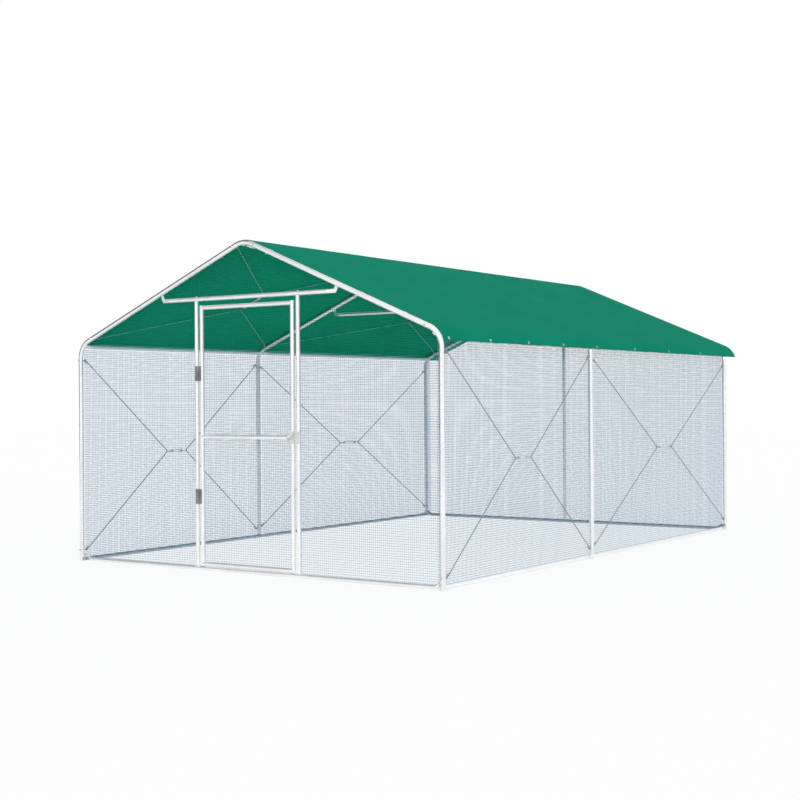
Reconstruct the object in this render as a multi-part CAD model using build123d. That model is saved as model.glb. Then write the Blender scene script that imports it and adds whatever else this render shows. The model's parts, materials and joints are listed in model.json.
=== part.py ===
import os
from math import atan2, cos, degrees, floor, radians, sin, sqrt, tan

from build123d import *

os.makedirs("parts", exist_ok=True)

# Arches: three bent tube hoops, measured between tube axes
span = 2720
front_bay = 1736
rear_bay = 2257
eave_corner = 1365
roof_pitch = 23
shoulder_radius = 120
apex_radius = 150
post_d = 28.6
tube_wall = 1.0

# Sleeve joint between a leg and the apex bend
apex_arm = 160
spigot_length = 60
spigot_wall = 1.2
sleeve_fit = 0.1

# Tubes between the arches, with flattened ends
rail_d = 25
eave_d = 22
rail_lift = 1.0
tab_thickness = 2.4
tab_height = 22
tab_edge = 10
tab_reach = 23
flare_length = 36
tab_lap_gap = 2
tab_seat = 0.05
eave_angle = 43

# Tie bars
tie_height = 1617
tie_along_rafter = 752
ear_straight = 14

# Self-drilling screws
screw_r = 2.7
screw_head_r = 5
screw_head_height = 4
screw_length = 16
screw_fit = 0.1

# Door opening and door
jamb_x = 385
stile_x = 344
door_bottom = 28.5
door_top = 1577
door_mid_rail = 797
end_plate = 3
cope_fit = 0.1
access_hole_r = 6.5

# Hinges
hinge_heights = (441, 1173)
hinge_height = 88
leaf_width = 24
leaf_thickness = 2
barrel_r = 5
hinge_pin_r = 2.5
hinge_fit = 0.05
pin_seat = 0.02
knuckle_gap = 0.4

# Slide latch
latch_z = 798
latch_height = 68
latch_plate = 2
latch_travel = 22
latch_bolt_r = 5
latch_stand = 1.7
latch_fit = 0.3
latch_handle_r = 4
latch_handle_length = 24
latch_lug = 3
latch_lug_height = 26
latch_play = 2
latch_tail = 4
latch_gap = 6
keeper_width = 28

# Mesh panels
net_thickness = 2
net_strand = 3
net_gaps = 300
net_gap_min = 60
net_clearance = 0.3
net_floor = 4
net_margin = 33
net_lap = 10

# Braces
wire_r = 2.75
eye_ring_r = 7
eye_bar_r = 2
eye_shank_r = 3
eye_stand = 3
eye_fit = 0.15
nut_height = 5
nut_r = 5.8
shank_tail = 3
hook_r = 5.2
hook_tail = 25
hook_ease = 0.97
tip_gap = 0.3
wall_link_share = 0.103
roof_link = 220
eye_show = 35
boss_length = 16
boss_r = 6
side_bar = 5
turnbuckle_fit = 0.05
wall_eye_low = 69
wall_eye_high = 1271
roof_eye_low = 105
roof_eye_high = 90
eye_step = 16

# Roof cover
cover_thickness = 1.2
cover_clearance = 0.3
cover_hems = {-1: 1352, 1: 1321}
cover_front = 8
cover_overhang = 200
eyelets_per_bay = 4
eyelet_start = 0.035
eyelet_rise = 13
eyelet_r = 8
eyelet_hole_r = 4
eyelet_barrel = 1
eyelet_flange = 0.8
eyelet_seat = 0.3

# Derived places
half = span / 2
length = front_bay + rear_bay
post_r = post_d / 2
rail_r = rail_d / 2
eave_r = eave_d / 2
pitch = radians(roof_pitch)
slope = half / cos(pitch)
apex_corner = eave_corner + half * tan(pitch)
shoulder_z = eave_corner - shoulder_radius * tan((radians(90) - pitch) / 2)
tab_offset = post_r + tab_seat + tab_thickness / 2
rail_z = rail_r + rail_lift
tube_face = tab_offset - rail_r
bolt_offset = latch_bolt_r + latch_plate + latch_stand
front_reach = bolt_offset + latch_handle_length - tube_face
y_front = (front_reach - length - cover_overhang) / 2
y_middle = y_front + front_bay
y_rear = y_front + length
arches = {"front": y_front, "middle": y_middle, "rear": y_rear}
door_plane = y_front + tab_offset
crown = apex_corner - apex_radius * (1 / cos(pitch) - 1)
hinge_axis = (-(jamb_x + stile_x) / 2, door_plane - rail_r - barrel_r)

parts = {}
drills = {}
fasteners = []


def tube(start, end, outer_d, wall):
    run = Vector(end) - Vector(start)
    ring = Circle(outer_d / 2) - Circle(outer_d / 2 - wall)
    return extrude(Plane(origin=start, z_dir=run) * ring, amount=run.length)


def rod(start, end, radius):
    run = Vector(end) - Vector(start)
    return extrude(Plane(origin=start, z_dir=run) * Circle(radius), amount=run.length)


def bent_tube(points, radius, outer_d, wall):
    path = FilletPolyline(*points, radius=radius)
    ring = Circle(outer_d / 2) - Circle(outer_d / 2 - wall)
    return sweep(Plane(origin=path @ 0, z_dir=path % 0) * ring, path=path)


def drill(node, start, direction, depth, radius):
    end = Vector(start) + Vector(direction) * depth
    drills.setdefault(node, []).append(rod(start, end, radius))


def screw(seat, direction, nodes, shank=screw_length):
    # The head bears on the seat and the shank points along the direction.
    plane = Plane(origin=seat, z_dir=direction)
    head = extrude(plane * RegularPolygon(screw_head_r, 6), amount=-screw_head_height)
    body = head + extrude(plane * Circle(screw_r), amount=shank)
    fasteners.append(body)
    for node in nodes:
        back = Vector(seat) - Vector(direction)
        drill(node, back, direction, shank + 2, screw_r + screw_fit)


def on_rafter(along, side, y):
    # A point on a rafter axis, measured up the slope from the eave corner.
    return Vector(side * (half - along * cos(pitch)), y, eave_corner + along * sin(pitch))


def leg_axis_x(z):
    # Distance of the leg axis from the middle plane, up to the end of the shoulder.
    climb = max(z - shoulder_z, 0)
    return half - shoulder_radius + sqrt(shoulder_radius**2 - climb**2)


def sagitta(radius, half_chord):
    return radius - sqrt(radius**2 - half_chord**2)


def side_name(side):
    return "left" if side < 0 else "right"


# Flattened tube ends
def flare(outer_d, low, high):
    # Hollow run from a flat section at x = 0 to a round one at x = flare_length.
    def skin(inset):
        flat = Plane(origin=(0, (low + high) / 2, 0), x_dir=(0, 1, 0), z_dir=(1, 0, 0))
        round_end = Plane(origin=(flare_length, 0, 0), x_dir=(0, 1, 0), z_dir=(1, 0, 0))
        crushed = Rectangle(high - low - 2 * inset, tab_thickness - 2 * inset)
        return loft([flat * crushed, round_end * Circle(outer_d / 2 - inset)])

    return skin(0) - skin(tube_wall)


def flat_end_tube(start, end, normal, outer_d, low, high):
    # The screw holes lie at start and end, and the flat faces look along the normal.
    run = Vector(end) - Vector(start)
    along = run.normalized()
    face = Vector(normal) - along * along.dot(Vector(normal))
    tab_middle = (low + high) / 2
    outline = Pos(-tab_edge, tab_middle) * Rectangle(
        tab_edge + tab_reach, high - low, align=(Align.MIN, Align.CENTER)
    )
    outer_corners = outline.vertices().group_by(Axis.X)[0]
    outline = fillet(outer_corners, tab_edge / 2) - Pos(0, tab_middle) * Circle(screw_r + screw_fit)
    tab = extrude(outline, amount=tab_thickness / 2, both=True)
    end_piece = tab + Pos(tab_reach, 0, 0) * flare(outer_d, low, high)
    inset = tab_reach + flare_length
    body = end_piece + tube((inset, 0, 0), (run.length - inset, 0, 0), outer_d, tube_wall)
    body += mirror(end_piece, about=Plane.YZ.offset(run.length / 2))
    return Plane(origin=start, x_dir=along, z_dir=face) * body


# Arches
def leg(side, y):
    points = [(side * half, y, 0), (side * half, y, eave_corner), on_rafter(slope - apex_arm, side, y)]
    return bent_tube(points, shoulder_radius, post_d, tube_wall)


def apex_bend(y):
    joint = slope - apex_arm
    points = [on_rafter(joint, 1, y), (0, y, apex_corner), on_rafter(joint, -1, y)]
    bend = bent_tube(points, apex_radius, post_d, tube_wall)
    spigot_d = post_d - 2 * tube_wall - 2 * sleeve_fit
    step_wall = (post_d - spigot_d) / 2 + spigot_wall - tube_wall / 2
    for side in (1, -1):
        foot = on_rafter(joint, side, y)
        step_end = on_rafter(joint + 2 * spigot_wall, side, y)
        bend += tube(foot, step_end, post_d - tube_wall, step_wall)
        bend += tube(on_rafter(joint - spigot_length, side, y), step_end, spigot_d, spigot_wall)
    return bend


def add_arches():
    for arch, y in arches.items():
        apex = f"{arch}_apex_bend"
        parts[apex] = apex_bend(y)
        for side in (-1, 1):
            node = f"{arch}_{side_name(side)}_leg"
            parts[node] = leg(side, y)
            inward = Vector(-side * sin(pitch), 0, -cos(pitch))
            joint = on_rafter(slope - apex_arm - spigot_length / 2, side, y)
            screw(joint + inward * post_r, -inward, [node, apex], screw_length / 2)


# Tie bars with turned-up ears, screwed to the back of the rafters
def tie_bar(y):
    hole = on_rafter(tie_along_rafter, 1, 0)
    rise = hole.Z - tie_height
    corner_x = hole.X - rise * tan(pitch)
    flat_x = corner_x - ear_straight
    arms = (((flat_x, 0), (corner_x, 0)), ((corner_x, 0), (hole.X, rise)))
    outline = None
    for start, end in arms:
        middle = ((start[0] + end[0]) / 2, (start[1] + end[1]) / 2)
        reach = (end[0] - start[0], end[1] - start[1])
        turn = degrees(atan2(reach[1], reach[0]))
        slot = SlotCenterToCenter(sqrt(reach[0] ** 2 + reach[1] ** 2), tab_height)
        arm = Pos(*middle) * Rot(0, 0, turn) * slot
        outline = arm if outline is None else outline + arm
    outline -= Pos(flat_x, 0) * Rectangle(tab_height, tab_height, align=(Align.MAX, Align.CENTER))
    outline -= Pos(hole.X, rise) * Circle(screw_r + screw_fit)
    ear = extrude(outline, amount=tab_thickness / 2, both=True)
    taper = Pos(flat_x, 0, 0) * mirror(flare(rail_d, -tab_height / 2, tab_height / 2), about=Plane.YZ)
    end_piece = ear + taper
    round_x = flat_x - flare_length
    bar = end_piece + tube((-round_x, 0, 0), (round_x, 0, 0), rail_d, tube_wall)
    bar += mirror(end_piece, about=Plane.YZ)
    return Plane(origin=(0, y, tie_height), x_dir=(1, 0, 0), z_dir=(0, -1, 0)) * bar


def add_tie_bars():
    names = {"front": "front_header_bar", "middle": "middle_tie_bar", "rear": "rear_tie_bar"}
    for arch, y in arches.items():
        inward = -1 if arch == "rear" else 1
        parts[names[arch]] = tie_bar(y + inward * tab_offset)
        for side in (-1, 1):
            hole = on_rafter(tie_along_rafter, side, y)
            seat = hole + Vector(0, inward * (tab_offset + tab_thickness / 2), 0)
            screw(seat, (0, -inward, 0), [f"{arch}_{side_name(side)}_leg"])


# Tubes that run from arch to arch, with two flat ends on one screw at the middle arch
def along_run(names, place, normal, outer_d, tab, side, drilled):
    # place(depth) is the axis point at y = 0 for a tab middle that lies depth below the arch tube.
    layer = tab_thickness + tab_seat
    single = tab_seat + tab_thickness / 2
    ends = (("front", "middle", single, single), ("middle", "rear", single + layer, single))
    for name, (first, last, first_depth, last_depth) in zip(names, ends):
        start = place(first_depth) + Vector(0, arches[first], 0)
        end = place(last_depth) + Vector(0, arches[last], 0)
        member = flat_end_tube(start, end, normal, outer_d, *tab)
        parts[name] = member if side > 0 else mirror(member, about=Plane.YZ)
    up = Vector(normal).cross(Vector(0, 1, 0))
    for arch, y in arches.items():
        depth = layer * (2 if arch == "middle" else 1) + tab_seat
        seat = place(depth) + Vector(0, y, 0) + up * (tab[0] + tab[1]) / 2
        seat.X *= side
        screw(seat, (side * normal[0], 0, normal[2]), [drilled(arch)])


def add_long_tubes():
    angle = radians(eave_angle)
    middle_tab = (-tab_height / 2, tab_height / 2)
    # The tabs of the ground rails lie low, so that those of the front and rear rails pass above them.
    low_tab = (rail_lift - rail_r, rail_lift - rail_r + tab_height)
    eave_seat = shoulder_radius - post_r - sagitta(shoulder_radius - post_r, tab_height / 2)
    ridge_seat = crown - post_r - sagitta(apex_radius - post_r, tab_height / 2)

    def rail_place(depth):
        return Vector(half - post_r - depth, 0, rail_z)

    def eave_place(depth):
        reach = eave_seat - depth
        return Vector(half - shoulder_radius + reach * cos(angle), 0, shoulder_z + reach * sin(angle))

    def ridge_place(depth):
        return Vector(0, 0, ridge_seat - depth)

    for side in (-1, 1):
        name = side_name(side)

        def leg_node(arch):
            return f"{arch}_{name}_leg"

        rails = [f"{name}_front_ground_rail", f"{name}_rear_ground_rail"]
        eaves = [f"{name}_front_eave_tube", f"{name}_rear_eave_tube"]
        along_run(rails, rail_place, (1, 0, 0), rail_d, low_tab, side, leg_node)
        along_run(eaves, eave_place, (cos(angle), 0, sin(angle)), eave_d, middle_tab, side, leg_node)

    def apex_node(arch):
        return f"{arch}_apex_bend"

    ridges = ["front_ridge_tube", "rear_ridge_tube"]
    along_run(ridges, ridge_place, (0, 0, 1), eave_d, middle_tab, 1, apex_node)


def add_cross_rails():
    low = rail_lift - rail_r + tab_height + tab_lap_gap
    high = low + tab_height
    for arch, inward in (("front", 1), ("rear", -1)):
        y = arches[arch] + inward * tab_offset
        node = f"{arch}_ground_rail"
        parts[node] = flat_end_tube((-half, y, rail_z), (half, y, rail_z), (0, -1, 0), rail_d, low, high)
        for side in (-1, 1):
            seat_y = y + inward * tab_thickness / 2
            seat = (side * half, seat_y, rail_z + (low + high) / 2)
            screw(seat, (0, -inward, 0), [f"{arch}_{side_name(side)}_leg"])


# Uprights that stand on a ground rail and carry up to a tie bar
def upright(node, x, y, rail, bar):
    bottom = rail_z + rail_r
    top = tie_height - rail_r
    post = tube((x, y, bottom), (x, y, top), rail_d, tube_wall)
    post += rod((x, y, bottom), (x, y, bottom + end_plate), rail_r)
    post += rod((x, y, top - end_plate), (x, y, top), rail_r)
    parts[node] = post
    foot_seat = bottom - tube_wall - sagitta(rail_r - tube_wall, screw_head_r)
    screw((x, y, foot_seat), (0, 0, 1), [node, rail])
    drill(rail, (x, y, 0), (0, 0, 1), rail_z, access_hole_r)
    screw((x, y, tie_height + rail_r), (0, 0, -1), [node, bar], rail_d + screw_length / 2)


def add_uprights():
    for side in (-1, 1):
        node = f"{side_name(side)}_door_jamb"
        upright(node, side * jamb_x, door_plane, "front_ground_rail", "front_header_bar")
    upright("rear_centre_post", 0, y_rear - tab_offset, "rear_ground_rail", "rear_tie_bar")


# Door
def add_door():
    y = door_plane
    stiles = []
    for side in (-1, 1):
        x = side * stile_x
        foot, head = (x, y, door_bottom), (x, y, door_top)
        parts[f"door_{side_name(side)}_stile"] = tube(foot, head, rail_d, tube_wall)
        stiles.append(rod(foot, head, rail_r + cope_fit))
    heights = {"bottom": door_bottom + rail_r, "middle": door_mid_rail, "top": door_top - rail_r}
    for name, z in heights.items():
        rail = tube((-stile_x, y, z), (stile_x, y, z), rail_d, tube_wall)
        parts[f"door_{name}_rail"] = (rail - stiles).solids().sort_by(SortBy.VOLUME)[-1]


def hinge_leaf(side, own_knuckles, bore_r, height):
    # Seen from the pin axis at the origin, the leaf lies towards the given side.
    root = barrel_r + knuckle_gap
    plate_y = (barrel_r - leaf_thickness / 2)
    plate = Pos(side * (root + leaf_width) / 2, plate_y, height / 2) * Box(
        leaf_width - root, leaf_thickness, height
    )
    for low, high in own_knuckles:
        web_size = (root, leaf_thickness, high - low)
        plate += Pos(side * root / 2, plate_y, (low + high) / 2) * Box(*web_size)
        plate += rod((0, 0, low), (0, 0, high), barrel_r)
    return plate - rod((0, 0, -1), (0, 0, height + 1), bore_r)


def add_hinges():
    third = (hinge_height - 2 * knuckle_gap) / 3
    middle = (third + knuckle_gap, 2 * third + knuckle_gap)
    outer = ((0, third), (hinge_height - third, hinge_height))
    jamb_leaf = hinge_leaf(-1, outer, hinge_pin_r + pin_seat, hinge_height)
    door_leaf = hinge_leaf(1, [middle], hinge_pin_r + hinge_fit, hinge_height)
    pin = rod((0, 0, 0), (0, 0, hinge_height), hinge_pin_r)
    places = [Pos(*hinge_axis, z - hinge_height / 2) for z in hinge_heights]
    parts["jamb_hinge_leaves"] = Compound(children=[place * jamb_leaf for place in places])
    parts["door_hinge_leaves"] = Compound(children=[place * door_leaf for place in places])
    parts["hinge_pins"] = Compound(children=[place * pin for place in places])


# Slide latch: carrier on the door stile, bolt, keeper on the jamb
def lug(x, face, bolt_y, bore_r):
    depth = face - bolt_y
    profile = Rectangle(depth, latch_lug_height, align=(Align.MIN, Align.CENTER))
    profile += Circle(latch_lug_height / 2)
    profile -= Pos(depth, 0) * Rectangle(*2 * [latch_lug_height], align=(Align.MIN, Align.CENTER))
    plane = Plane(origin=(x, bolt_y, latch_z), x_dir=(0, 1, 0), z_dir=(1, 0, 0))
    return extrude(plane * (profile - Circle(bore_r)), amount=latch_lug)


def add_latch():
    front = door_plane - rail_r
    face = front - latch_plate
    bolt_y = front - bolt_offset
    bore_r = latch_bolt_r + latch_fit
    plate_width = latch_travel + 2 * (latch_lug + latch_handle_r + latch_play)
    plate_left = stile_x - plate_width / 2
    plate_right = stile_x + plate_width / 2
    carrier = Pos(stile_x, front - latch_plate / 2, latch_z) * Box(plate_width, latch_plate, latch_height)
    for x in (plate_left, plate_right - latch_lug):
        carrier += lug(x, face, bolt_y, bore_r)
    parts["latch_carrier"] = carrier

    handle_x = plate_left + latch_lug + latch_handle_r + latch_play
    tail_end = (plate_left - latch_tail, bolt_y, latch_z)
    bolt = rod(tail_end, (plate_right + latch_play, bolt_y, latch_z), latch_bolt_r)
    handle_end = (handle_x, bolt_y - latch_handle_length, latch_z)
    parts["latch_bolt"] = bolt + rod((handle_x, bolt_y, latch_z), handle_end, latch_handle_r)

    keeper_left = plate_right + latch_gap
    keeper = Pos(keeper_left + keeper_width / 2, front - latch_plate / 2, latch_z) * Box(
        keeper_width, latch_plate, latch_height
    )
    parts["latch_keeper"] = keeper + lug(keeper_left, face, bolt_y, bore_r)


# Mesh panels: one flat holed face each
def clip(cell, outline):
    # Keep the part of a cell that lies inside a convex outline, both counter-clockwise.
    for (ax, ay), (bx, by) in zip(outline, outline[1:] + outline[:1]):
        kept = []
        for here, after in zip(cell, cell[1:] + cell[:1]):
            h = (bx - ax) * (here[1] - ay) - (by - ay) * (here[0] - ax)
            a = (bx - ax) * (after[1] - ay) - (by - ay) * (after[0] - ax)
            if h >= 0:
                kept.append(here)
            if (h < 0) != (a < 0):
                share = h / (h - a)
                kept.append(tuple(p + share * (q - p) for p, q in zip(here, after)))
        cell = kept
    return cell


def area(cell):
    turns = [p[0] * q[1] - q[0] * p[1] for p, q in zip(cell, cell[1:] + cell[:1])]
    return sum(turns) / 2


def inset(outline, distance):
    # Move every side of a convex counter-clockwise outline inwards.
    lines = []
    for (ax, ay), (bx, by) in zip(outline, outline[1:] + outline[:1]):
        size = sqrt((bx - ax) ** 2 + (by - ay) ** 2)
        nx, ny = -(by - ay) / size, (bx - ax) / size
        lines.append((nx, ny, nx * ax + ny * ay + distance))
    corners = []
    for (a, b, c), (d, e, f) in zip(lines[-1:] + lines[:-1], lines):
        det = a * e - b * d
        corners.append(((c * e - b * f) / det, (a * f - c * d) / det))
    return corners


def net(plane, outline):
    wide = max(p[0] for p in outline) - min(p[0] for p in outline)
    tall = max(p[1] for p in outline) - min(p[1] for p in outline)
    left = min(p[0] for p in outline)
    low = min(p[1] for p in outline)
    columns = floor(sqrt(net_gaps * wide / tall))
    rows = floor(net_gaps / columns)
    step_x, step_y = wide / columns, tall / rows
    bounds = inset(outline, net_strand)
    rim = net_strand / 2
    gaps = []
    for i in range(columns):
        for j in range(rows):
            x0, x1 = left + i * step_x + rim, left + (i + 1) * step_x - rim
            y0, y1 = low + j * step_y + rim, low + (j + 1) * step_y - rim
            cell = clip([(x0, y0), (x1, y0), (x1, y1), (x0, y1)], bounds)
            if len(cell) > 2 and area(cell) > net_gap_min:
                gaps.append(Wire.make_polygon([(*p, 0) for p in cell], close=True))
    border = Wire.make_polygon([(*p, 0) for p in outline], close=True)
    sheet = extrude(Face(border, gaps), amount=net_thickness / 2, both=True)
    return plane * sheet


def add_nets():
    behind = tab_offset + rail_r + net_clearance + net_thickness / 2
    layer = tab_thickness + tab_seat
    eave_reach = shoulder_radius - tab_offset
    eave_z = shoulder_z + eave_reach * sin(radians(eave_angle))
    bend_inside = shoulder_radius - post_r
    bays = {"front": (y_front, y_middle, behind, behind), "rear": (y_middle, y_rear, behind + layer, behind)}
    for side in (-1, 1):
        for bay, (y0, y1, first_depth, last_depth) in bays.items():
            # The panel follows its rail, and its upper corners pass under the bends of the legs.
            run = Vector(side * (first_depth - last_depth), y1 - y0, 0)
            origin = (side * (half - first_depth), y0, 0)
            plane = Plane(origin=origin, x_dir=run, z_dir=run.cross(Vector(0, 0, 1)))
            start = net_margin if bay == "front" else net_strand
            end = y1 - y0 - (net_margin if bay == "rear" else net_strand)
            top = eave_z - eave_r - net_strand
            inner_reach = shoulder_radius - first_depth - net_thickness
            cut = post_r + net_strand
            corner_z = shoulder_z + sqrt(bend_inside**2 - inner_reach**2) - 3 * cut
            outline = [(start, net_floor), (end, net_floor), (end, corner_z), (end - cut, top)]
            outline += [(start + cut, top), (start, corner_z)]
            parts[f"{side_name(side)}_{bay}_net"] = net(plane, outline)

    # Gable outlines in x and z, kept clear of the rafters and of the side, eave and ridge tubes.
    edge = half - net_lap
    flank = half - net_margin - 1.7 * eave_d
    bend_end = on_rafter(shoulder_radius * tan((radians(90) - pitch) / 2), 1, 0).X
    ridge_cut = crown - post_r - 2 * eave_d
    underside = apex_corner - post_r / cos(pitch)

    def rafter_z(x):
        return underside - x * tan(pitch)

    ridge_x = (underside - ridge_cut) / tan(pitch)
    inner = jamb_x - rail_r / 2
    foot = [(edge - 1.2 * rail_d, net_floor), (edge, net_floor + 1.8 * rail_d)]
    slant = [(edge, eave_z - 3.5 * eave_d), (flank, eave_z), (bend_end, rafter_z(bend_end))]
    front_plane = Plane(origin=(0, y_front + behind, 0), x_dir=(1, 0, 0), z_dir=(0, -1, 0))
    rear_plane = Plane(origin=(0, y_rear - behind, 0), x_dir=(1, 0, 0), z_dir=(0, -1, 0))
    right = [(inner, net_floor), *foot, *slant, (inner, rafter_z(inner))]
    left = [(-x, z) for x, z in reversed(right)]
    parts["front_right_net"] = net(front_plane, right)
    parts["front_left_net"] = net(front_plane, left)

    gable_edge = inner - net_strand
    gable_low = tie_height - rail_r
    gable = [(-gable_edge, gable_low), (gable_edge, gable_low), (gable_edge, rafter_z(gable_edge))]
    gable += [(ridge_x, ridge_cut), (-ridge_x, ridge_cut), (-gable_edge, rafter_z(gable_edge))]
    parts["front_gable_net"] = net(front_plane, gable)

    rear = [*foot, *slant, (ridge_x, ridge_cut)]
    rear += [(-x, z) for x, z in reversed(rear)]
    parts["rear_net"] = net(rear_plane, rear)

    door_edge = stile_x + rail_r / 2
    low, high = door_bottom + rail_r / 2, door_top - rail_r / 2
    door = [(-door_edge, low), (door_edge, low), (door_edge, high), (-door_edge, high)]
    parts["door_net"] = net(front_plane, door)


# Braces: two bent wires drawn together by a turnbuckle
def eye_bolt(shank):
    ring = Torus(eye_ring_r, eye_bar_r)
    return ring + rod((eye_ring_r, 0, 0), (eye_ring_r + shank, 0, 0), eye_shank_r)


def turnbuckle(link):
    body_length = link - 2 * eye_show
    body = rod((-body_length / 2, 0, 0), (-body_length / 2 + boss_length, 0, 0), boss_r)
    body += rod((body_length / 2 - boss_length, 0, 0), (body_length / 2, 0, 0), boss_r)
    for sign in (-1, 1):
        body += Pos(0, sign * (boss_r + side_bar / 4), 0) * Box(body_length, side_bar, side_bar)
    return body - rod((-link, 0, 0), (link, 0, 0), eye_shank_r + turnbuckle_fit)


eye_reach = post_r + eye_stand + eye_bar_r + 2 * eye_ring_r
eye_shank = eye_reach - 2 * eye_ring_r + post_r + nut_height + shank_tail
wires = []
eye_bolts = []


def brace(name, frame, link, p_half, q_half, shank_along_p, nodes):
    # In the frame, x runs along the turnbuckle and y across it. The eyes lie at the four corners.
    tip_r = eye_bar_r + wire_r + tip_gap
    corners = iter(nodes)
    for sign in (1, -1):
        tip = Vector(sign * link / 2, 0)
        eye = Vector(sign * p_half, q_half)
        along = (tip - eye).normalized()
        across = Vector(-along.Y, along.X)
        hook = [eye - across * hook_r + along * hook_tail, eye - across * hook_r - along * hook_r]
        hook.append(eye + across * hook_r - along * hook_r)
        back = [Vector(p.X, -p.Y) for p in reversed(hook)]
        bend = hook_r * hook_ease
        path = FilletPolyline(*hook, tip, *back, radius=[bend, bend, tip_r, bend, bend])
        section = Plane(origin=path @ 0, z_dir=path % 0) * Circle(wire_r)
        wires.append(frame * sweep(section, path=path))

        opening = atan2(q_half, p_half - link / 2)
        ring_x = sign * (link / 2 + tip_r / sin(opening) - eye_ring_r)
        plane = Plane(origin=(ring_x, 0, 0), x_dir=(-sign, 0, 0), z_dir=(0, 1, 0))
        eye_bolts.append(frame * (plane * eye_bolt(eye_shank)))
        for up in (1, -1):
            outward = Vector(sign, 0, 0) if shank_along_p else Vector(0, up, 0)
            flat = Vector(0, 1, 0) if shank_along_p else Vector(1, 0, 0)
            centre = Vector(sign * p_half, up * q_half) + outward * eye_ring_r
            plane = Plane(origin=centre, x_dir=outward, z_dir=flat)
            eye_bolts.append(frame * (plane * eye_bolt(eye_shank)))
            add_eye_seat(frame, centre, outward, next(corners))
    parts[f"{name}_turnbuckle"] = frame * turnbuckle(link)


def add_eye_seat(frame, centre, outward, node):
    # The shank passes through the tube, and a nut holds it on the far side.
    post_face = centre + outward * (eye_reach - eye_ring_r + post_r)
    nut_plane = Plane(origin=post_face, z_dir=outward)
    profile = RegularPolygon(nut_r, 6) - Circle(eye_shank_r + turnbuckle_fit)
    fasteners.append(frame * extrude(nut_plane * profile, amount=nut_height))
    hole = rod(centre + outward * eye_ring_r, post_face + outward * nut_height, eye_shank_r + eye_fit)
    drills.setdefault(node, []).append(frame * hole)


def wall_frame(side, y0, y1, low, high):
    foot = Vector(side * leg_axis_x(low), 0, low)
    head = Vector(side * leg_axis_x(high), 0, high)
    centre = (foot + head) / 2 + Vector(0, (y0 + y1) / 2, 0)
    across = (head - foot).normalized()
    frame = Plane(origin=centre, x_dir=(0, 1, 0), z_dir=Vector(0, 1, 0).cross(across))
    return frame, (y1 - y0) / 2 - eye_reach, (head - foot).length / 2


def roof_frame(side, y0, y1, low, high):
    foot = on_rafter(low, side, (y0 + y1) / 2)
    head = on_rafter(high, side, (y0 + y1) / 2)
    up = (head - foot).normalized()
    frame = Plane(origin=(foot + head) / 2, x_dir=up, z_dir=up.cross(Vector(0, 1, 0)))
    return frame, (high - low) / 2, (y1 - y0) / 2 - eye_reach


def add_braces():
    bays = {"front": ("front", "middle", 0), "rear": ("middle", "rear", eye_step)}
    for side in (-1, 1):
        name = side_name(side)
        for bay, (first, last, shift) in bays.items():
            y0, y1 = arches[first], arches[last]
            low, high = wall_eye_low + shift, wall_eye_high - shift
            frame, p_half, q_half = wall_frame(side, y0, y1, low, high)
            legs = [f"{last}_{name}_leg"] * 2 + [f"{first}_{name}_leg"] * 2
            brace(f"{name}_{bay}_wall", frame, wall_link_share * (y1 - y0), p_half, q_half, True, legs)

            low, high = roof_eye_low + shift, slope - roof_eye_high - shift
            frame, p_half, q_half = roof_frame(side, y0, y1, low, high)
            bends = [f"{last}_apex_bend", f"{first}_apex_bend", f"{last}_{name}_leg", f"{first}_{name}_leg"]
            brace(f"{name}_{bay}_roof", frame, roof_link, p_half, q_half, False, bends)
    parts["brace_wires"] = Compound(children=wires)
    parts["brace_eye_bolts"] = Compound(children=eye_bolts)


# Roof cover
def roof_section(lift):
    # Region under a line that runs parallel to the arch axis at the given distance outside it.
    x = half + lift
    peak = apex_corner + lift / cos(pitch)
    corner = peak - x * tan(pitch)
    region = make_face(Polyline((-x, 0), (-x, corner), (0, peak), (x, corner), (x, 0), close=True))
    by_height = region.vertices().group_by(Axis.Y)
    region = fillet(by_height[1], shoulder_radius + lift)
    return fillet(region.vertices().sort_by(Axis.Y)[-1], apex_radius + lift)


def add_cover():
    under = post_r + cover_clearance
    band = roof_section(under + cover_thickness) - roof_section(under)
    for side, hem in cover_hems.items():
        band -= Pos(side * span, 0) * Rectangle(2 * span, hem, align=(Align.CENTER, Align.MIN))
    start = y_front + cover_front
    plane = Plane(origin=(0, start, 0), x_dir=(1, 0, 0), z_dir=(0, -1, 0))
    cover = extrude(plane * band, amount=-(y_rear + cover_overhang - start))

    middle_r = shoulder_radius + under + cover_thickness / 2
    grip = cover_thickness / 2 + eyelet_seat
    barrel_outer = eyelet_hole_r + eyelet_barrel
    flange = Circle(eyelet_r) - Circle(eyelet_hole_r)
    eyelet = extrude(Plane.XY.offset(grip) * flange, amount=eyelet_flange)
    eyelet += extrude(Plane.XY.offset(-grip - eyelet_flange) * flange, amount=eyelet_flange)
    eyelet += extrude(Circle(barrel_outer) - Circle(eyelet_hole_r), amount=grip + eyelet_flange, both=True)
    eyelets = []
    holes = []
    for side, hem in cover_hems.items():
        climb = hem + eyelet_rise - shoulder_z
        angle = atan2(climb, sqrt(middle_r**2 - climb**2))
        x = side * (half - shoulder_radius + middle_r * cos(angle))
        outward = (side * cos(angle), 0, sin(angle))
        for y0, bay in ((y_front, front_bay), (y_middle, rear_bay)):
            for i in range(eyelets_per_bay):
                y = y0 + bay * (eyelet_start + i / eyelets_per_bay)
                place = Plane(origin=(x, y, hem + eyelet_rise), x_dir=(0, 1, 0), z_dir=outward)
                eyelets.append(place * eyelet)
                holes.append(place * Cylinder(barrel_outer + eyelet_seat, 4 * grip))
    parts["roof_cover"] = cover - holes
    parts["cover_eyelets"] = Compound(children=eyelets)


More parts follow.
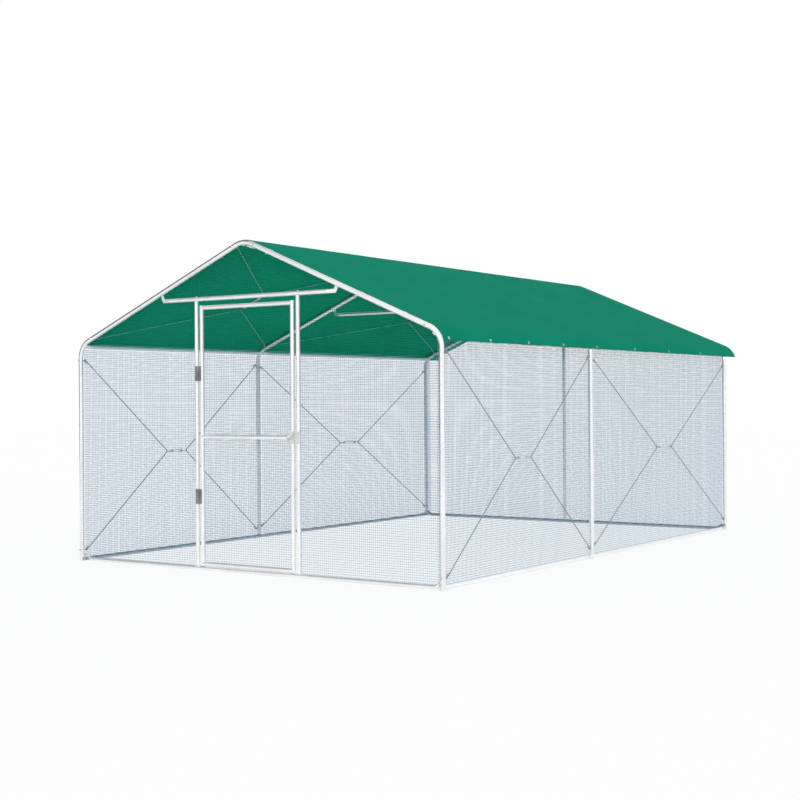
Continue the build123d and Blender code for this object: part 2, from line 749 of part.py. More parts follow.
add_arches()
add_tie_bars()
add_long_tubes()
add_cross_rails()
add_uprights()
add_door()
add_hinges()
add_latch()
add_nets()
add_braces()
add_cover()
parts["frame_fasteners"] = Compound(children=fasteners)
for node, cutters in drills.items():
    parts[node] -= cutters
for node, shape in parts.items():
    export_step(shape, f"parts/{node}.step")
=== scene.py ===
import json
import math

import bpy
import numpy as np
from mathutils import Matrix, Vector


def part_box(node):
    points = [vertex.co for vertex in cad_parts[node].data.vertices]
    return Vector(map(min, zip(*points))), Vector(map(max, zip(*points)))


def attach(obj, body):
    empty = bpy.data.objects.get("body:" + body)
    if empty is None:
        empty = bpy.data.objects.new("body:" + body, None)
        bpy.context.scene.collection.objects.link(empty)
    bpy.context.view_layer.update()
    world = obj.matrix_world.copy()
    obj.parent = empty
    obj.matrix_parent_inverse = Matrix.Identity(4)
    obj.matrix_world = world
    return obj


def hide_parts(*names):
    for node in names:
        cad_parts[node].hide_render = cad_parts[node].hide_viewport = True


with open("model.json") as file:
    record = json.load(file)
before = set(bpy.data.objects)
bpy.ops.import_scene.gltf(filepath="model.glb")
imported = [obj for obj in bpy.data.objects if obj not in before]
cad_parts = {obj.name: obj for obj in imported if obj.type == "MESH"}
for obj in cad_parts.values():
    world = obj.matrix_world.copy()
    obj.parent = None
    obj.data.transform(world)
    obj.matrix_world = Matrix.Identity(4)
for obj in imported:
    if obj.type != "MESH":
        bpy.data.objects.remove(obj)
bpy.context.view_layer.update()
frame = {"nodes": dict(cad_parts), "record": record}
cadNodes = frame["nodes"]
scene = bpy.context.scene
scene.view_settings.view_transform = "Standard"
print("frame loaded")

# camera, in metres and degrees, with lens and sensor in millimetres
viewpoint = {
    "place": (5.3167, -8.2723, 1.0064),
    "yaw": 34.3062,
    "pitch": 0.0055,
    "roll": -0.3901,
    "lens": 62.825,
    "sensor": 36,
    "clip": (0.1, 400),
}


def placeCamera(v):
    yaw, pitch, roll = (math.radians(v[k]) for k in ("yaw", "pitch", "roll"))
    ahead = Vector((-math.sin(yaw) * math.cos(pitch), math.cos(yaw) * math.cos(pitch), math.sin(pitch)))
    right = Vector((math.cos(yaw), math.sin(yaw), 0))
    up = right.cross(ahead)
    side = math.cos(roll) * right + math.sin(roll) * up
    top = math.cos(roll) * up - math.sin(roll) * right
    data = bpy.data.cameras.new("camera")
    data.sensor_width, data.lens = v["sensor"], v["lens"]
    data.clip_start, data.clip_end = v["clip"]
    cam = bpy.data.objects.new("camera", data)
    scene.collection.objects.link(cam)
    turned = Matrix((side, top, -ahead)).transposed().to_4x4()
    cam.matrix_world = Matrix.Translation(v["place"]) @ turned
    scene.camera = cam


placeCamera(viewpoint)
print("camera placed")

# surroundings: pale floor, soft studio light, white behind everything
studio = {
    "ambient": 0.75,
    "ambientTint": (0.97, 0.985, 1.0),
    "overhead": (0.03, 0.03, 0.03),
    "overheadSide": (-0.85, 0.0, 0.53),
    "overheadFrom": (0.66, 0.82),
    "keyStrength": 1.6,
    "keyFrom": (0.60, -0.75, 0.55),
    "keySoftness": 40,
    "floorSize": 90,
    "floorColour": (0.90, 0.91, 0.92),
    "floorGlow": 0.86,
    "cardBearings": (66, 100, 120, -8),
    "cardDistance": 16,
    "cardSize": (12, 9),
    "cardTone": (0.10, 0.10, 0.10),
}


# a cleared node tree's two tools: one adds a node with its settings, one links two sockets
def newTree(tree):
    tree.nodes.clear()

    def add(kind, **given):
        node = tree.nodes.new(kind)
        for key, value in given.items():
            if hasattr(node, key):
                setattr(node, key, value)
            else:
                node.inputs[key].default_value = value
        return node

    return add, tree.links.new


def newMaterial(name):
    material = bpy.data.materials.new(name)
    material.use_nodes = True
    add, link = newTree(material.node_tree)
    return material, add, link, add("ShaderNodeOutputMaterial")


# node that turns the range given into 0 to 1
def newRange(add, given):
    node = add("ShaderNodeMapRange")
    node.inputs["From Min"].default_value, node.inputs["From Max"].default_value = given
    return node


# node that runs from one colour to another between two stops
def newRamp(add, stops, first, last):
    node = add("ShaderNodeValToRGB")
    ends = node.color_ramp.elements
    ends[0].position, ends[1].position = stops
    ends[0].color, ends[1].color = (*first, 1), (*last, 1)
    return node


# 1 for rays from the camera and for mirror and see-through rays, else 0
def seenRay(add, link):
    path = add("ShaderNodeLightPath")
    direct = add("ShaderNodeMath", operation="MAXIMUM")
    every = add("ShaderNodeMath", operation="MAXIMUM")
    link(path.outputs["Is Camera Ray"], direct.inputs[0])
    link(path.outputs["Is Glossy Ray"], direct.inputs[1])
    link(direct.outputs[0], every.inputs[0])
    link(path.outputs["Is Transmission Ray"], every.inputs[1])
    return every.outputs[0]


# world: white, with a dark patch round overheadSide for mirror rays alone,
# and an even soft light for matt surfaces
def buildWorld(s):
    world = bpy.data.worlds.new("studio")
    world.use_nodes = True
    add, link = newTree(world.node_tree)
    out = add("ShaderNodeOutputWorld")
    where = add("ShaderNodeTexCoord")
    near = add("ShaderNodeVectorMath", operation="DOT_PRODUCT")
    near.inputs[1].default_value = s["overheadSide"]
    patch = newRange(add, s["overheadFrom"])
    path = add("ShaderNodeLightPath")
    mirrored = add("ShaderNodeMath", operation="MULTIPLY")
    shade = add("ShaderNodeMix", data_type="RGBA")
    shade.inputs["A"].default_value = (1, 1, 1, 1)
    shade.inputs["B"].default_value = (*s["overhead"], 1)
    soft = add("ShaderNodeBackground", Color=(*s["ambientTint"], 1), Strength=s["ambient"])
    white = add("ShaderNodeBackground", Strength=1.0)
    mix = add("ShaderNodeMixShader")
    link(where.outputs["Generated"], near.inputs[0])
    link(near.outputs["Value"], patch.inputs["Value"])
    link(patch.outputs["Result"], mirrored.inputs[0])
    link(path.outputs["Is Glossy Ray"], mirrored.inputs[1])
    link(mirrored.outputs[0], shade.inputs["Factor"])
    link(shade.outputs["Result"], white.inputs["Color"])
    link(seenRay(add, link), mix.inputs[0])
    link(soft.outputs[0], mix.inputs[1])
    link(white.outputs[0], mix.inputs[2])
    link(mix.outputs[0], out.inputs["Surface"])
    scene.world = world


# floor: a square whose paper glows for the rays that see it, so that its shadows stay faint
def buildFloor(s):
    half = s["floorSize"] / 2
    corners = [(-half, -half, 0), (half, -half, 0), (half, half, 0), (-half, half, 0)]
    mesh = bpy.data.meshes.new("floor")
    mesh.from_pydata(corners, [], [(0, 1, 2, 3)])
    floor = bpy.data.objects.new("floor", mesh)
    scene.collection.objects.link(floor)
    material, add, link, out = newMaterial("floorPaper")
    share = add("ShaderNodeMath", operation="MULTIPLY")
    share.inputs[1].default_value = s["floorGlow"]
    paper = add("ShaderNodeBsdfDiffuse", Color=(*s["floorColour"], 1))
    glow = add("ShaderNodeEmission", Color=(1, 1, 1, 1), Strength=1.0)
    mix = add("ShaderNodeMixShader")
    link(seenRay(add, link), share.inputs[0])
    link(share.outputs[0], mix.inputs[0])
    link(paper.outputs[0], mix.inputs[1])
    link(glow.outputs[0], mix.inputs[2])
    link(mix.outputs[0], out.inputs["Surface"])
    mesh.materials.append(material)


def buildKey(s):
    data = bpy.data.lights.new("keyLight", "SUN")
    data.energy, data.angle = s["keyStrength"], math.radians(s["keySoftness"])
    key = bpy.data.objects.new("keyLight", data)
    scene.collection.objects.link(key)
    key.rotation_mode = "QUATERNION"
    key.rotation_quaternion = Vector(s["keyFrom"]).to_track_quat("Z", "Y")


# dark cards round the object that only mirror rays meet, so that bright round tubes get grey edges:
# upright rectangles at one distance, each turned to face the middle
def buildCards(s):
    material, add, link, out = newMaterial("cardPaper")
    glow = add("ShaderNodeEmission", Color=(*s["cardTone"], 1), Strength=1.0)
    link(glow.outputs[0], out.inputs["Surface"])
    wide, tall = s["cardSize"]
    up = np.array([0, 0, tall])
    for i, bearing in enumerate(s["cardBearings"]):
        turn = math.radians(bearing)
        middle = np.array([-math.sin(turn), math.cos(turn), 0]) * s["cardDistance"]
        across = np.array([math.cos(turn), math.sin(turn), 0]) * wide / 2
        corners = [middle - across, middle + across, middle + across + up, middle - across + up]
        mesh = bpy.data.meshes.new(f"card{i}")
        mesh.from_pydata(corners, [], [(0, 1, 2, 3)])
        mesh.materials.append(material)
        card = bpy.data.objects.new(f"card{i}", mesh)
        scene.collection.objects.link(card)
        card.visible_camera = card.visible_diffuse = False
        card.visible_shadow = card.visible_transmission = False


buildWorld(studio)
buildFloor(studio)
buildCards(studio)
buildKey(studio)
print("studio built")

# metal finishes, colours linear
finishes = {
    "tube": {"light": (0.92, 0.925, 0.93), "dark": (0.82, 0.825, 0.83),
             "metallic": 0.60, "roughness": 0.24, "grain": 55, "bump": 0.04},
    "arch": {"light": (0.92, 0.925, 0.93), "dark": (0.82, 0.825, 0.83),
             "metallic": 0.85, "roughness": 0.20, "grain": 55, "bump": 0.04},
    # painted light: a lighter, more matt copy of the tube finish, so that the eave tubes in the shade under
    # the roof and the right ground rails look bright
    "paleTubeLit": {"light": (0.97, 0.975, 0.98), "dark": (0.90, 0.905, 0.91),
                 "metallic": 0.12, "roughness": 0.30, "grain": 55, "bump": 0.04},
    # painted shade: a warm grey copy of the arch finish for the legs and post that stand inside the run,
    # under the roof
    "innerTubeShaded": {"light": (0.92, 0.895, 0.88), "dark": (0.82, 0.795, 0.78),
                  "metallic": 0.85, "roughness": 0.20, "grain": 55, "bump": 0.04},
    # painted shade: a darker copy of the tube finish for the rear and left ground rails, which lie in the
    # shade of the run
    "farRailShaded": {"light": (0.54, 0.52, 0.51), "dark": (0.44, 0.42, 0.41),
                "metallic": 0.85, "roughness": 0.20, "grain": 55, "bump": 0.04},
    "doorMetal": {"light": (0.33, 0.33, 0.33), "dark": (0.17, 0.17, 0.17),
                  "metallic": 0.8, "roughness": 0.36, "grain": 160, "bump": 0.08},
    "link": {"light": (0.78, 0.79, 0.81), "dark": (0.60, 0.61, 0.63),
             "metallic": 0.8, "roughness": 0.36, "grain": 220, "bump": 0.05},
    "eyeBolt": {"light": (0.46, 0.46, 0.46), "dark": (0.28, 0.28, 0.28),
                "metallic": 0.6, "roughness": 0.42, "grain": 260, "bump": 0.05},
    "fastener": {"light": (0.80, 0.80, 0.80), "dark": (0.62, 0.62, 0.62),
                 "metallic": 0.8, "roughness": 0.38, "grain": 300, "bump": 0.05},
    "eyelet": {"light": (0.86, 0.88, 0.89), "dark": (0.66, 0.68, 0.70),
               "metallic": 0.6, "roughness": 0.3, "grain": 400, "bump": 0.03},
    "latch": {"light": (0.80, 0.80, 0.78), "dark": (0.58, 0.58, 0.56),
              "metallic": 0.7, "roughness": 0.34, "grain": 160, "bump": 0.08},
}
# what all metal finishes share: broad noise against fine, stops of the tones, spread of the roughness
grainShape = {
    "broad": 12,
    "fineDetail": 4.0,
    "broadDetail": 2.0,
    "stops": (0.12, 0.34),
    "smooth": 0.85,
    "rough": 1.2,
    "depth": 0.001,
}


# zinc finish: two noise sizes multiplied blend the dark tone into the light one,
# and the fine one varies the roughness and the height
def zinc(name, f, g=grainShape):
    material, add, link, out = newMaterial(name)
    body = add("ShaderNodeBsdfPrincipled", Metallic=f["metallic"])
    where = add("ShaderNodeTexCoord")
    fine = add("ShaderNodeTexNoise", Scale=f["grain"], Detail=g["fineDetail"])
    broad = add("ShaderNodeTexNoise", Scale=f["grain"] / g["broad"], Detail=g["broadDetail"])
    both = add("ShaderNodeMath", operation="MULTIPLY")
    tones = newRamp(add, g["stops"], f["dark"], f["light"])
    rough = add("ShaderNodeMapRange")
    rough.inputs["To Min"].default_value = f["roughness"] * g["smooth"]
    rough.inputs["To Max"].default_value = f["roughness"] * g["rough"]
    bump = add("ShaderNodeBump", Strength=f["bump"], Distance=g["depth"])
    link(where.outputs["Object"], fine.inputs["Vector"])
    link(where.outputs["Object"], broad.inputs["Vector"])
    link(fine.outputs["Fac"], both.inputs[0])
    link(broad.outputs["Fac"], both.inputs[1])
    link(both.outputs[0], tones.inputs["Fac"])
    link(tones.outputs["Color"], body.inputs["Base Color"])
    link(fine.outputs["Fac"], rough.inputs["Value"])
    link(rough.outputs["Result"], body.inputs["Roughness"])
    link(fine.outputs["Fac"], bump.inputs["Height"])
    link(bump.outputs["Normal"], body.inputs["Normal"])
    link(body.outputs[0], out.inputs["Surface"])
    return material


# brace wire, with painted shade and light: dark on the left wall, pale on the right, painted green light
# under the roof; the heights and the distances from the middle between which its colour changes, in metres
braceWire = {
    "left": (0.026, 0.031, 0.036),
    "right": (0.30, 0.37, 0.42),
    "roof": (0.17, 0.70, 0.53),
    "change": (1.28, 1.38),
    "middle": (-0.1, 0.1),
    "metallic": 0.3,
    "roughness": 0.5,
    "layScale": 240.0,
    "layBend": 0.6,
    "layShare": 0.35,
}


# strand: painted shade on the left wall, brighter on the right, painted green light from the sheet under the
# roof, with its lay as bands
def strand(name, w):
    material, add, link, out = newMaterial(name)
    body = add("ShaderNodeBsdfPrincipled", Metallic=w["metallic"], Roughness=w["roughness"])
    where = add("ShaderNodeTexCoord")
    apart = add("ShaderNodeSeparateXYZ")
    height = newRange(add, w["change"])
    across = newRange(add, w["middle"])
    walls = add("ShaderNodeMix", data_type="RGBA")
    walls.inputs["A"].default_value = (*w["left"], 1)
    walls.inputs["B"].default_value = (*w["right"], 1)
    tones = add("ShaderNodeMix", data_type="RGBA")
    tones.inputs["B"].default_value = (*w["roof"], 1)
    lay = add("ShaderNodeTexWave", Scale=w["layScale"], Distortion=w["layBend"])
    shade = add("ShaderNodeMix", data_type="RGBA", blend_type="MULTIPLY")
    shade.inputs["Factor"].default_value = w["layShare"]
    link(where.outputs["Object"], apart.inputs[0])
    link(apart.outputs["Z"], height.inputs["Value"])
    link(apart.outputs["X"], across.inputs["Value"])
    link(across.outputs["Result"], walls.inputs["Factor"])
    link(walls.outputs["Result"], tones.inputs["A"])
    link(height.outputs["Result"], tones.inputs["Factor"])
    link(where.outputs["Object"], lay.inputs["Vector"])
    link(tones.outputs["Result"], shade.inputs["A"])
    link(lay.outputs["Color"], shade.inputs["B"])
    link(shade.outputs["Result"], body.inputs["Base Color"])
    link(body.outputs[0], out.inputs["Surface"])
    return material


# mesh wire, and the lines above which it takes painted shade: a lean and a height in metres
netWire = {
    "light": (0.26, 0.44, 0.62),
    "dark": (0.17, 0.30, 0.44),
    "shaded": (0.004, 0.090, 0.060),
    "fade": 0.012,
    "grain": 90,
    "detail": 3.0,
    "stops": (0.35, 0.65),
    "roughness": 0.6,
    "specular": 0.08,
}
shadeLine = {"front": (0.0545, 1.303), "other": (0.0, 1.342)}


# mesh wire: mottled blue-grey zinc on the walls and painted shade, dark green-grey, under the roof,
# changing where lean times x plus z passes a height
def meshWireShaded(name, m, lean, change):
    material, add, link, out = newMaterial(name)
    body = add("ShaderNodeBsdfPrincipled", Roughness=m["roughness"])
    body.inputs["Specular IOR Level"].default_value = m["specular"]
    where = add("ShaderNodeTexCoord")
    level = add("ShaderNodeVectorMath", operation="DOT_PRODUCT")
    level.inputs[1].default_value = (lean, 0, 1)
    height = newRange(add, (change - m["fade"] / 2, change + m["fade"] / 2))
    mottle = add("ShaderNodeTexNoise", Scale=m["grain"], Detail=m["detail"])
    tones = newRamp(add, m["stops"], m["dark"], m["light"])
    shade = add("ShaderNodeMix", data_type="RGBA")
    shade.inputs["B"].default_value = (*m["shaded"], 1)
    link(where.outputs["Object"], level.inputs[0])
    link(where.outputs["Object"], mottle.inputs["Vector"])
    link(level.outputs["Value"], height.inputs["Value"])
    link(mottle.outputs["Fac"], tones.inputs["Fac"])
    link(height.outputs["Result"], shade.inputs["Factor"])
    link(tones.outputs["Color"], shade.inputs["A"])
    link(shade.outputs["Result"], body.inputs["Base Color"])
    link(body.outputs[0], out.inputs["Surface"])
    return material


tarp = {
    "colour": (0.004, 0.216, 0.137),
    "shade": (0.003, 0.198, 0.124),
    "weave": 330,
    "cloud": 2.2,
    "cloudDetail": 4.0,
    "stops": (0.35, 0.65),
    "roughness": 0.85,
    "specular": 0.02,
    "bump": 0.10,
    "depth": 0.0006,
}
# painted light: the underside is a brighter green that stands in for light coming through the sheet
tarpInside = {**tarp, "colour": (0.003, 0.38, 0.215), "shade": (0.003, 0.35, 0.200)}


# woven sheet: crossed bands of warp and weft along the sheet's own length and width, with a slow cloudy tone
def wovenSheet(name, t):
    material, add, link, out = newMaterial(name)
    body = add("ShaderNodeBsdfPrincipled", Roughness=t["roughness"])
    body.inputs["Specular IOR Level"].default_value = t["specular"]
    where = add("ShaderNodeTexCoord")
    warp = add("ShaderNodeTexWave", bands_direction="X", Scale=t["weave"])
    weft = add("ShaderNodeTexWave", bands_direction="Y", Scale=t["weave"])
    cross = add("ShaderNodeMath", operation="ADD")
    cloud = add("ShaderNodeTexNoise", Scale=t["cloud"], Detail=t["cloudDetail"])
    tones = newRamp(add, t["stops"], t["shade"], t["colour"])
    bump = add("ShaderNodeBump", Strength=t["bump"], Distance=t["depth"])
    link(where.outputs["UV"], warp.inputs["Vector"])
    link(where.outputs["UV"], weft.inputs["Vector"])
    link(where.outputs["UV"], cloud.inputs["Vector"])
    link(warp.outputs["Fac"], cross.inputs[0])
    link(weft.outputs["Fac"], cross.inputs[1])
    link(cloud.outputs["Fac"], tones.inputs["Fac"])
    link(tones.outputs["Color"], body.inputs["Base Color"])
    link(cross.outputs[0], bump.inputs["Height"])
    link(bump.outputs["Normal"], body.inputs["Normal"])
    link(body.outputs[0], out.inputs["Surface"])
    return material


tubeZinc = zinc("galvanisedTube", finishes["tube"])
archZinc = zinc("galvanisedArch", finishes["arch"])
paleLitZinc = zinc("galvanisedPaleLit", finishes["paleTubeLit"])
innerShadedZinc = zinc("galvanisedInnerShaded", finishes["innerTubeShaded"])
farRailShadedZinc = zinc("galvanisedFarShaded", finishes["farRailShaded"])
doorSteel = zinc("doorHardware", finishes["doorMetal"])
linkZinc = zinc("turnbuckleZinc", finishes["link"])
eyeBoltSteel = zinc("eyeBoltSteel", finishes["eyeBolt"])
fastenerZinc = zinc("fastenerZinc", finishes["fastener"])
eyeletMetal = zinc("eyeletMetal", finishes["eyelet"])
latchZinc = zinc("latchZinc", finishes["latch"])
meshZinc = meshWireShaded("meshWire", netWire, *shadeLine["other"])
frontMesh = meshWireShaded("frontMeshWire", netWire, *shadeLine["front"])
wireStrand = strand("braceWire", braceWire)
coverGreen = wovenSheet("coverGreen", tarp)
coverInside = wovenSheet("coverInside", tarpInside)

# a node takes the finish of its slot, unless it has one of its own
slotFinish = {
    "galvanised_tube": tubeZinc,
    "bracing_steel": linkZinc,
    "brace_wire": wireStrand,
    "door_hardware": doorSteel,
    "eyelet_metal": eyeletMetal,
    "wire_mesh": meshZinc,
    "cover_sheet": coverGreen,
}
ownFinish = {name: archZinc for name in cadNodes if name.endswith(("_leg", "_apex_bend"))}
ownFinish.update({name: paleLitZinc for name in cadNodes if name.endswith("_eave_tube")})
for finish, names in (
    (paleLitZinc, ("right_front_ground_rail", "right_rear_ground_rail")),
    (innerShadedZinc, ("middle_left_leg", "rear_left_leg", "rear_centre_post")),
    (farRailShadedZinc, ("rear_ground_rail", "left_front_ground_rail", "left_rear_ground_rail")),
    (latchZinc, ("latch_carrier", "latch_bolt", "latch_keeper")),
    (eyeBoltSteel, ("brace_eye_bolts",)),
    (fastenerZinc, ("frame_fasteners",)),
):
    ownFinish.update(dict.fromkeys(names, finish))
bySlot = {part["node"]: part["material_slot"] for part in frame["record"]["subparts"]}
for name, node in cadNodes.items():
    node.data.materials.clear()
    node.data.materials.append(ownFinish.get(name, slotFinish[bySlot[name]]))
print("materials made")


def meshPiece(name, points, faces, material, smooth=False):
    mesh = bpy.data.meshes.new(name)
    mesh.from_pydata(points.reshape(-1, 3), [], faces.tolist())
    mesh.polygons.foreach_set("use_smooth", np.full(len(mesh.polygons), smooth))
    mesh.materials.append(material)
    piece = bpy.data.objects.new(name, mesh)
    scene.collection.objects.link(piece)
    return piece


# straight wires: a ring of points round both ends of every wire, joined by a strip of faces
# and closed by end faces
def wires(starts, ends, across, sides, radius):
    ahead = ends - starts
    ahead = ahead / np.linalg.norm(ahead, axis=1, keepdims=True)
    across = across - (across * ahead).sum(1, keepdims=True) * ahead
    across = across / np.linalg.norm(across, axis=1, keepdims=True)
    other = np.cross(ahead, across)
    turn = 2 * np.pi * (np.arange(sides) + 0.5) / sides
    ring = np.cos(turn)[None, :, None] * across[:, None] + np.sin(turn)[None, :, None] * other[:, None]
    points = np.stack([starts[:, None] + radius * ring, ends[:, None] + radius * ring], 1)
    a = np.arange(sides)
    b = (a + 1) % sides
    strip = np.stack([a, b, b + sides, a + sides], 1)
    fan = np.arange(1, sides - 2, 2)
    cap = np.stack([0 * fan, fan, fan + 1, fan + 2], 1)
    one = np.concatenate([strip, cap[:, ::-1], cap + sides])
    faces = one[None] + 2 * sides * np.arange(len(starts))[:, None, None]
    return points.reshape(-1, 3), faces.reshape(-1, 4)


# the arch that the mesh and the cover follow, metres and degrees
arch = {
    "halfSpan": 1.360,
    "eaveCorner": 1.365,
    "shoulderRadius": 0.120,
    "apexRadius": 0.150,
    "pitch": 23.0,
}
roofSlope = math.radians(arch["pitch"])
shoulderDrop = arch["shoulderRadius"] * math.tan((math.pi / 2 - roofSlope) / 2)
shoulderHeight = arch["eaveCorner"] - shoulderDrop
apexDrop = arch["apexRadius"] * (1 / math.cos(roofSlope) - 1)
crown = arch["eaveCorner"] + arch["halfSpan"] * math.tan(roofSlope) - apexDrop
archY = [sum(p.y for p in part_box(f"{n}_apex_bend")) / 2 for n in ("front", "middle", "rear")]


# right half of the arch at a distance outside its axis: a shoulder arc from the angle low,
# a straight slope, an apex arc
def archLine(a, lift, low, count):
    bend = math.pi / 2 - roofSlope
    shoulder, apex = np.linspace(low, bend, count), np.linspace(bend, math.pi / 2, count // 2)
    outer, inner = a["shoulderRadius"] + lift, a["apexRadius"] + lift
    shoulderX, apexZ = a["halfSpan"] - a["shoulderRadius"], crown - a["apexRadius"]
    return np.concatenate([
        np.stack([shoulderX + outer * np.cos(shoulder), shoulderHeight + outer * np.sin(shoulder)], 1),
        np.stack([inner * np.cos(apex), apexZ + inner * np.sin(apex)], 1),
    ])


# mesh, metres: pitch and thickness of its upright and level wires, and how far a panel stays inside the arch,
# wraps round the front left leg, reaches past the rear arch, and stays clear of tubes that hide its edge
fineMesh = {
    "pitch": 0.0135,
    "upright": 0.0012,
    "level": 0.0018,
    "sides": 6,
    "lap": 0.010,
    "wrap": 0.008,
    "past": 0.032,
    "hidden": 0.003,
    "archPoints": 16,
    "toLeg": 1.3,
    "shortest": 1e-5,
    "flat": 1e-6,
}
# the far walls have a finer pitch and as much wire, so that two layers don't make moire arcs
farMesh = {**fineMesh, "pitch": 0.0108, "upright": 0.00096, "level": 0.00144}
netFinish = dict.fromkeys(("front_left_net", "front_right_net", "front_gable_net", "door_net"), frontMesh)
rightward, upward = np.array([1.0, 0.0, 0.0]), np.array([0.0, 0.0, 1.0])


# wire mesh panel: parallel wires in two crossed layers,
# each cut where it meets the sides of the convex outline
def wirePanel(node, body, m, outline, centre, sideways):
    axes = (sideways, upward)
    normal = np.cross(sideways, upward)
    edge = np.roll(outline, -1, 0) - outline
    long = np.linalg.norm(edge, axis=1) > m["shortest"]
    corner, edge = outline[long], edge[long]
    outward = np.stack([edge[:, 1], -edge[:, 0]], 1) / np.linalg.norm(edge, axis=1, keepdims=True)
    reach = (outward * corner).sum(1)
    points, faces, offset = [], [], 0
    for axis, layer, wire in ((0, 1, m["upright"]), (1, -1, m["level"])):
        low, high = outline[:, axis].min(), outline[:, axis].max()
        count = int((high - low) / m["pitch"])
        at = (low + high) / 2 + (np.arange(count) - (count - 1) / 2) * m["pitch"]
        along, lean = outward[:, 1 - axis, None], outward[:, axis, None]
        with np.errstate(divide="ignore", invalid="ignore"):
            limit = (reach[:, None] - lean * at) / along
        top = np.where(along > m["flat"], limit, np.inf).min(0)
        bottom = np.where(along < -m["flat"], limit, -np.inf).max(0)
        keep = top - bottom > m["pitch"]
        base = centre + at[keep, None] * axes[axis] + layer * normal * wire / 2
        starts = base + bottom[keep, None] * axes[1 - axis]
        ends = base + top[keep, None] * axes[1 - axis]
        p, f = wires(starts, ends, np.broadcast_to(normal, base.shape), m["sides"], wire / 2)
        points.append(p)
        faces.append(f + offset)
        offset += len(p)
    name = node.replace("_net", "_mesh")
    piece = meshPiece(name, np.concatenate(points), np.concatenate(faces), netFinish.get(node, meshZinc))
    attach(piece, body)
    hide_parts(node)


# side panel: a rectangle from arch to arch, turned about the upright as the CAD panel is
def sidePanel(side, bay, m):
    node = f"{side}_{bay}_net"
    low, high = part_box(node)
    cad = np.array([v.co for v in cadNodes[node].data.vertices])
    slope, start = np.polyfit(cad[:, 1], cad[:, 0], 1)
    stretch = math.hypot(slope, 1)
    y0, y1 = archY[:2] if bay == "front" else archY[1:]
    along = np.array([slope, 1.0, 0.0]) / stretch
    centre = np.array([start + slope * y0, y0, 0.0])
    size = (y1 - y0) * stretch + (m["past"] if bay == "rear" else 0.0)
    outline = np.array([(0.0, low.z), (size, low.z), (size, high.z), (0.0, high.z)])
    wirePanel(node, "frame", m, outline, centre, along)


# cut a convex outline by a straight line: keep the side where a x + b z <= c,
# with new corners where sides cross the line
def cutOutline(outline, a, b, c):
    kept = []
    for p, q in zip(outline, np.roll(outline, -1, 0)):
        dp, dq = a * p[0] + b * p[1] - c, a * q[0] + b * q[1] - c
        if dp <= 0:
            kept.append(p)
        if dp * dq < 0:
            kept.append(p + (q - p) * dp / (dp - dq))
    return np.array(kept)


# half of a gable panel's outline: an upright from the ground, then the arch line at the same distance
def gableHalf(lift, count):
    return np.concatenate([[(arch["halfSpan"] + lift, 0.0)], archLine(arch, lift, 0.0, count)])


# gable panel: the arch's inside cut down to the panel's own sides, foot and the ridge tube
def gablePanel(node, body, m):
    low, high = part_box(node)
    ridge = min(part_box(f"{n}_ridge_tube")[0].z for n in ("front", "rear")) - m["hidden"]
    wrapped = node == "front_left_net"
    left = gableHalf(m["wrap"] if wrapped else -m["hidden"], m["archPoints"])
    right = gableHalf(-m["hidden"], m["archPoints"])
    outline = np.concatenate([right, (left * (-1, 1))[::-1]])
    outer = arch["halfSpan"] - m["lap"]
    wide = arch["halfSpan"] + m["wrap"] if wrapped else outer
    lowX = low.x if low.x > -m["toLeg"] else -wide
    highX = high.x if high.x < m["toLeg"] else outer
    top = min(ridge, high.z) if body == "door" else ridge
    for cut in ((1, 0, highX), (-1, 0, -lowX), (0, -1, -low.z), (0, 1, top)):
        outline = cutOutline(outline, *cut)
    centre = np.array([0.0, (low.y + high.y) / 2, 0.0])
    wirePanel(node, body, m, outline, centre, rightward)


for side, mesh in (("left", farMesh), ("right", fineMesh)):
    for bay in ("front", "rear"):
        sidePanel(side, bay, mesh)
for node in ("front_left_net", "front_right_net", "front_gable_net"):
    gablePanel(node, "frame", fineMesh)
gablePanel("rear_net", "frame", farMesh)
gablePanel("door_net", "door", fineMesh)
print("mesh panels made")

# roof cover, metres: how far it lies outside the arch axis, its hems, and how slack it is
roofSheet = {
    "lift": 0.0146,
    "thickness": 0.0012,
    "hemFold": 0.035,
    "hemEdge": 0.0015,
    "hemExtra": 0.0007,
    "sag": 0.0045,
    "sagPower": 0.7,
    "flute": 0.0020,
    "fluteReach": 0.055,
    "eyeletsPerBay": 4,
    "eyeletShift": 0.14,
    "wrinkle": 0.0008,
    "wrinkleAcross": (17, 3.1, 2.3),
    "wrinkleAlong": (9, 2, 5),
    "archPoints": 60,
    "acrossPoints": 260,
    "alongPoints": 300,
}


# how far the cover lies off the arch line at each point s across and y along it: a sag between the arches,
# flutes between the eyelets that die away from the hem, and a weak product of two bent waves
def coverPush(c, s, y, fromHem, width):
    inBay = np.zeros_like(y)
    for a, b in zip(archY[:-1], archY[1:]):
        inBay += np.sin(np.pi * np.clip((y - a) / (b - a), 0, 1)) ** 2
    push = -c["sag"] * inBay * np.sin(np.pi * np.clip(fromHem / (width / 2), 0, 1)) ** c["sagPower"]
    inFront = y < archY[1]
    bayLength = np.where(inFront, archY[1] - archY[0], archY[2] - archY[1])
    bayStart = np.where(inFront, archY[0], archY[1])
    phase = 2 * np.pi * ((y - bayStart) / (bayLength / c["eyeletsPerBay"]) - c["eyeletShift"])
    push += c["flute"] * (0.5 - 0.5 * np.cos(phase)) * np.exp(-fromHem / c["fluteReach"])
    (many, bent, slow), (few, swung, quick) = c["wrinkleAcross"], c["wrinkleAlong"]
    waves = np.sin(many * s + bent * np.sin(slow * y)) * np.sin(few * y + swung * np.sin(quick * s))
    return push + c["wrinkle"] * waves * inBay


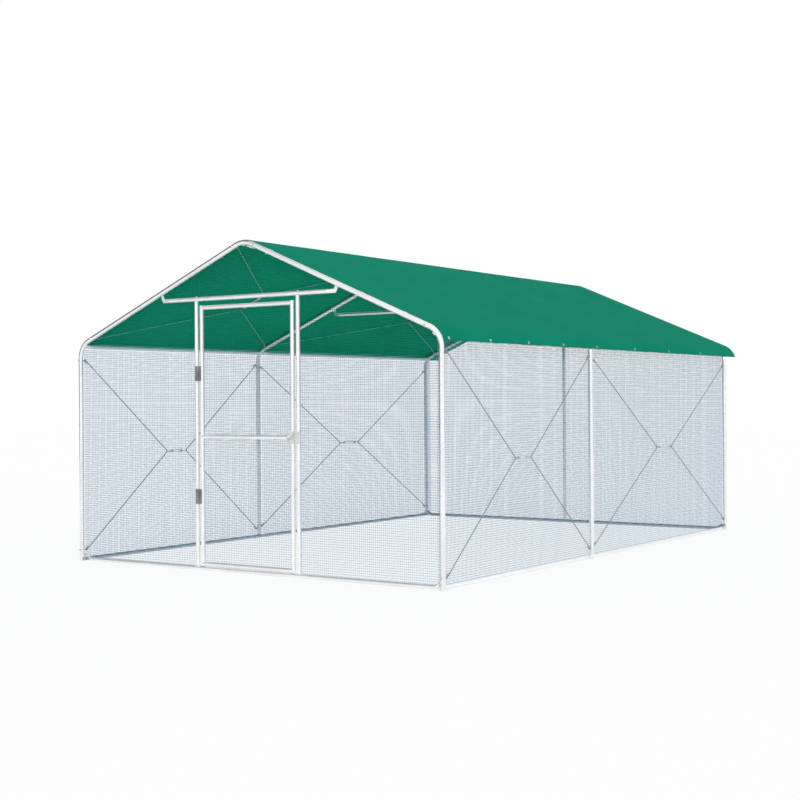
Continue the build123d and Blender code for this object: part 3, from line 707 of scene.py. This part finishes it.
# faces of a closed shell: a grid of n by k points on top, the same below, and a rim between them
def shellFaces(n, k):
    def quads(*corners):
        return np.stack([corner.ravel() for corner in corners], 1)

    grid = np.arange(n * k).reshape(n, k)
    top = quads(grid[:-1, :-1], grid[:-1, 1:], grid[1:, 1:], grid[1:, :-1])
    under = top[:, ::-1] + n * k
    rim = np.concatenate([grid[0, :], grid[1:, -1], grid[-1, -2::-1], grid[-2:0:-1, 0]])
    after = np.roll(rim, -1)
    return top, under, quads(after, rim, rim + n * k, after + n * k)


# cover: the arch line from hem to hem carried the length of the roof, moved by coverPush
# along the line's normal, and thickened at the folded hems
def roofCover(c):
    low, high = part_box("roof_cover")
    cad = np.array([v.co for v in cadNodes["roof_cover"].data.vertices])
    hems = [cad[cad[:, 0] * side > 0, 2].min() for side in (-1, 1)]
    shoulder = arch["shoulderRadius"] + c["lift"]
    angles = [math.asin((hem - shoulderHeight) / shoulder) for hem in hems]
    left, right = (archLine(arch, c["lift"], angle, c["archPoints"]) for angle in angles)
    line = np.concatenate([left * (-1, 1), right[-2::-1]])
    step = np.concatenate([[0], np.cumsum(np.linalg.norm(np.diff(line, axis=0), axis=1))])
    width = step[-1]
    s = np.linspace(0, width, c["acrossPoints"])
    x, z = np.interp(s, step, line[:, 0]), np.interp(s, step, line[:, 1])
    y = np.linspace(low.y, high.y, c["alongPoints"])
    out = np.stack([-np.gradient(z, s), np.gradient(x, s)], 1)
    out /= np.linalg.norm(out, axis=1, keepdims=True)
    s2, y2 = np.meshgrid(s, y, indexing="ij")
    fromHem = np.minimum(s2, width - s2)
    fromEnd = np.minimum(y2 - low.y, high.y - y2)
    push = coverPush(c, s2, y2, fromHem, width)
    fold = 1 / (1 + np.exp((np.minimum(fromHem, fromEnd) - c["hemFold"]) / c["hemEdge"]))
    thick = c["thickness"] + c["hemExtra"] * fold
    inner = np.stack([x[:, None] + push * out[:, :1], y2, z[:, None] + push * out[:, 1:]], -1)
    outer = inner + thick[..., None] * np.stack([out[:, 0], 0 * s, out[:, 1]], 1)[:, None]
    points = np.concatenate([outer.reshape(-1, 3), inner.reshape(-1, 3)])
    sets = shellFaces(*s2.shape)
    cover = meshPiece("roof_sheet", points, np.concatenate(sets), coverGreen, True)
    # the underside takes the brighter green of painted light
    cover.data.materials.append(coverInside)
    inside = np.repeat([0, 1, 0], [len(faces) for faces in sets]).astype(np.int32)
    cover.data.polygons.foreach_set("material_index", inside)
    uv = cover.data.uv_layers.new(name="sheet")
    corner = np.zeros(len(cover.data.loops), np.int32)
    cover.data.loops.foreach_get("vertex_index", corner)
    both = np.concatenate([np.stack([s2.ravel(), y2.ravel() - low.y], 1)] * 2)
    uv.data.foreach_set("uv", both[corner].astype(np.float32).ravel())
    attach(cover, "frame")
    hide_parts("roof_cover")
    print("cover width along the arch", round(float(width), 4), "length", round(float(high.y - low.y), 4))


roofCover(roofSheet)
print("cover made")
